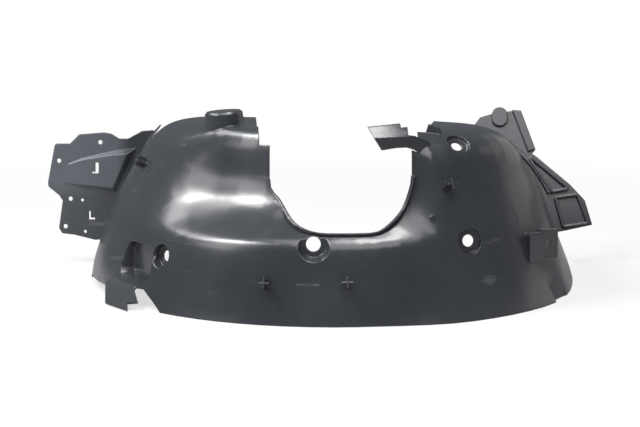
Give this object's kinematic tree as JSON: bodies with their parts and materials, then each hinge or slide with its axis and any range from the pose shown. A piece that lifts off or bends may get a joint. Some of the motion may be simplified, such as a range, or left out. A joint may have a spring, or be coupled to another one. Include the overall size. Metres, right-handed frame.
{
  "type": "wheel arch liner",
  "caption": "Thin moulded plastic liner for a front wheel arch, with a strut cut-out, clip pads, stand-off posts, a raised cap and end plates.",
  "frame": {"origin": "middle of the underside of the bounding box, in the plane of the outer rim that the part lies on", "axes": "+X along the car towards its rear, +Y from the crown of the arch towards the ground, +Z inboard, away from the rim"},
  "size_m": [0.83, 0.5116, 0.2586],
  "materials": {
    "black_plastic": "semi-gloss moulded black"
  },
  "bodies": {
    "root": {"arch_liner": "black_plastic"}
  },
  "joints": []
}
